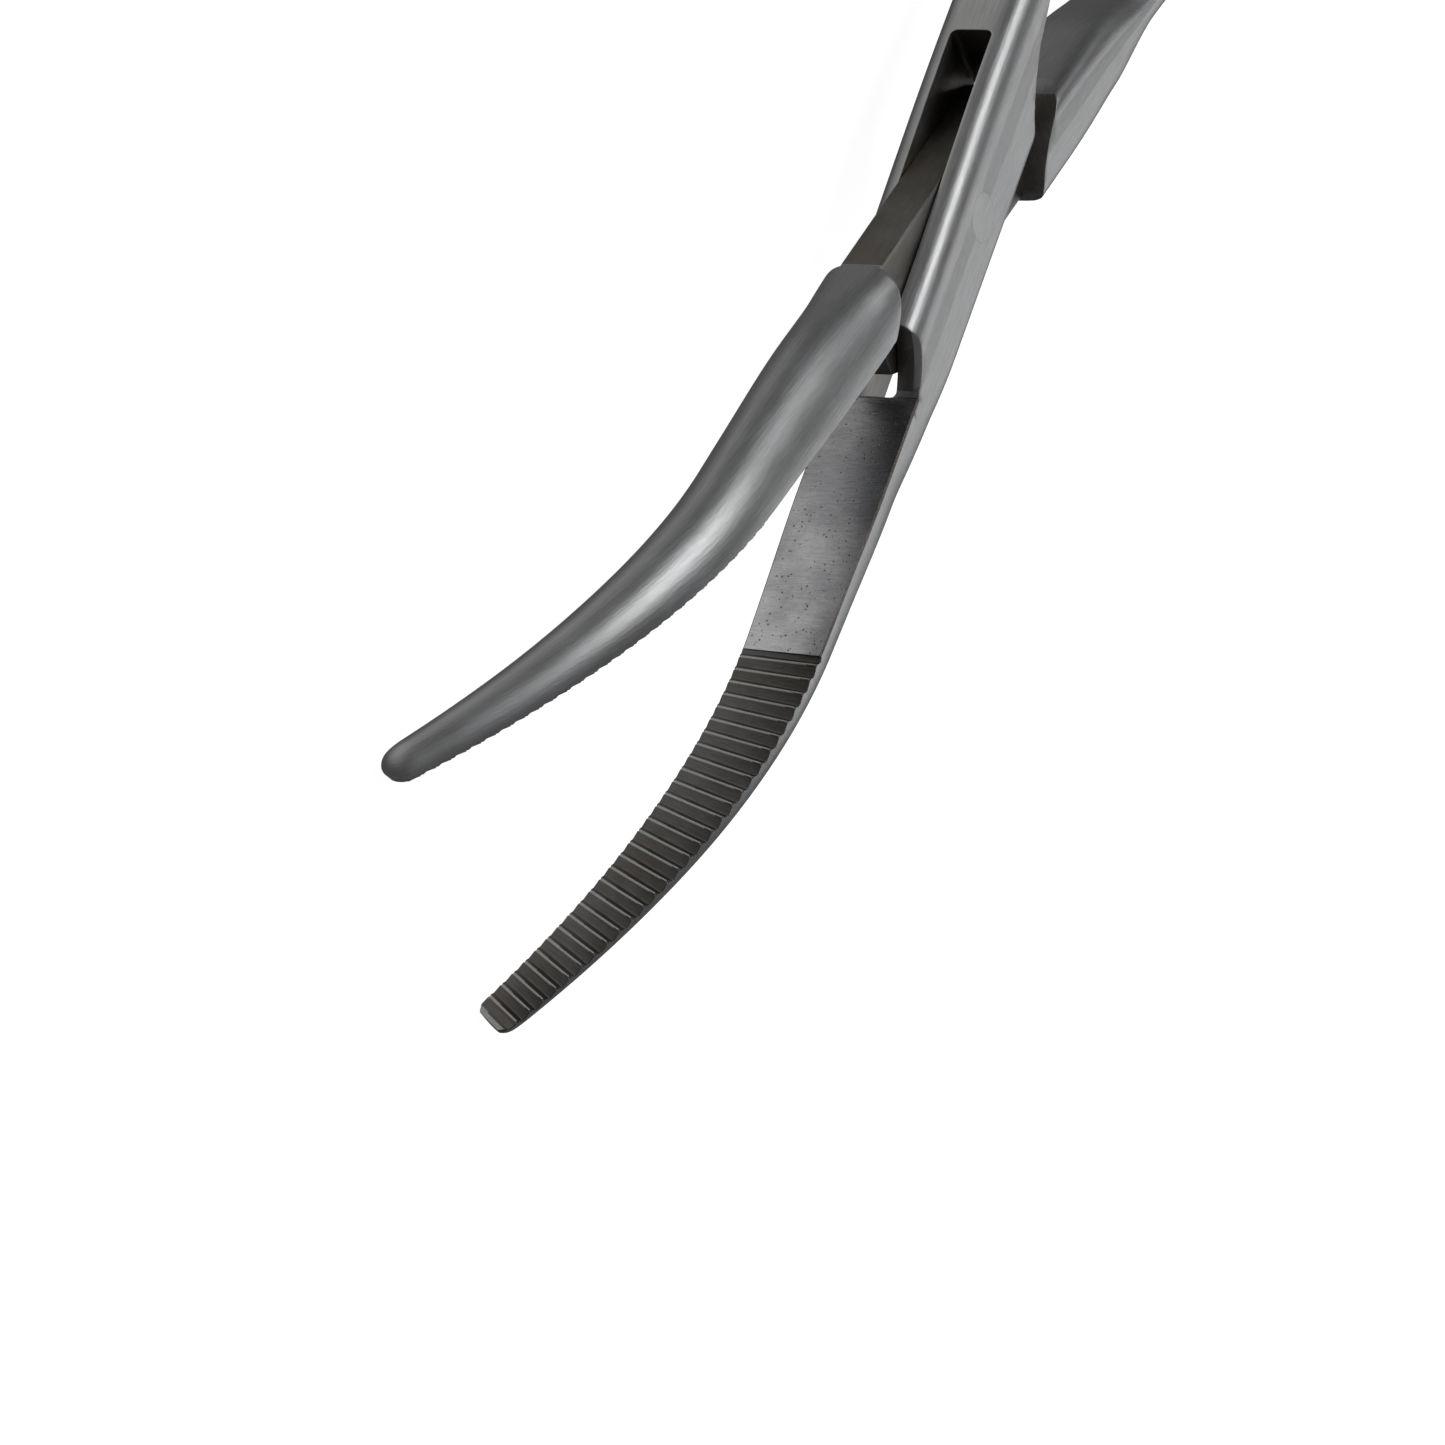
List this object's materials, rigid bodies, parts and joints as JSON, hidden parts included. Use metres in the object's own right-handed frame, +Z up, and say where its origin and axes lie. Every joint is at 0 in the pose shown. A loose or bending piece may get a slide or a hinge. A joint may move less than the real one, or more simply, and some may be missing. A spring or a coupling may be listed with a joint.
{
  "type": "curved box-lock haemostatic forceps",
  "caption": "Curved ring-handled clamping forceps: serrated tapering jaws that open on a box lock, with a ratchet catch between the shanks.",
  "frame": {"origin": "on the surface the forceps lies on, under the middle of the whole instrument as it lies open", "axes": "+X from the finger rings to the jaw tips, +Z up from the surface, +Y to the side of the female half's jaw; the convex side of the curved jaws is up"},
  "size_m": [0.1364, 0.0864, 0.0096],
  "materials": {
    "satin_stainless": "satin, fine grinding lines on the flat faces",
    "ground_pin_steel": "ground flush with the box"
  },
  "bodies": {
    "female_half": {"female_half": "satin_stainless", "pivot_pin": "ground_pin_steel"},
    "male_half": {"male_half": "satin_stainless"}
  },
  "joints": [
    {"name": "box_lock_pivot", "type": "hinge", "parent": "female_half", "child": "male_half", "pos_m": [0.02066, 0, 0.00632], "axis": [0.0485, 0, -0.9988], "range_deg": [-19.1, 41]}
  ]
}
